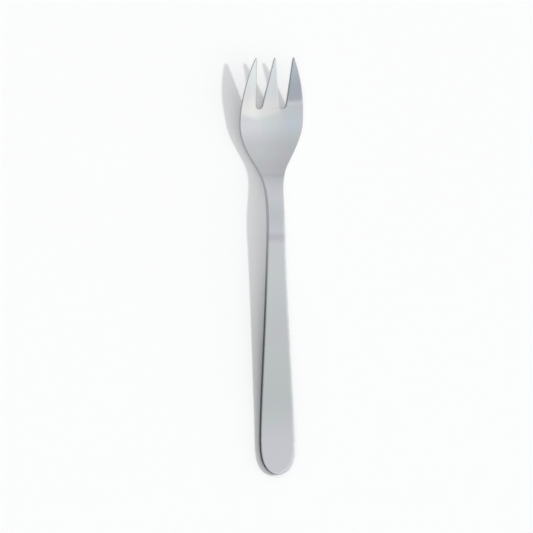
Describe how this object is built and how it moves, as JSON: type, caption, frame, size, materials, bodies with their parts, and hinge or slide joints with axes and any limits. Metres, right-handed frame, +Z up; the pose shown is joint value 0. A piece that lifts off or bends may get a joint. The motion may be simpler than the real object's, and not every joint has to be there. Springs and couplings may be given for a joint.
{
  "type": "table fork",
  "caption": "Slim table fork in satin stainless steel, with a shallow bowl, pointed tines and a flat tapering handle.",
  "frame": {"origin": "on the table, below the middle of the fork's length and width", "axes": "+Y from the handle's end to the tips, +Z up, X across the fork; the fork lies on its back with the tines pointing up"},
  "size_m": [0.0298, 0.185, 0.0122],
  "materials": {
    "steel": "satin polished stainless steel"
  },
  "bodies": {
    "root": {"fork": "steel"}
  },
  "joints": []
}
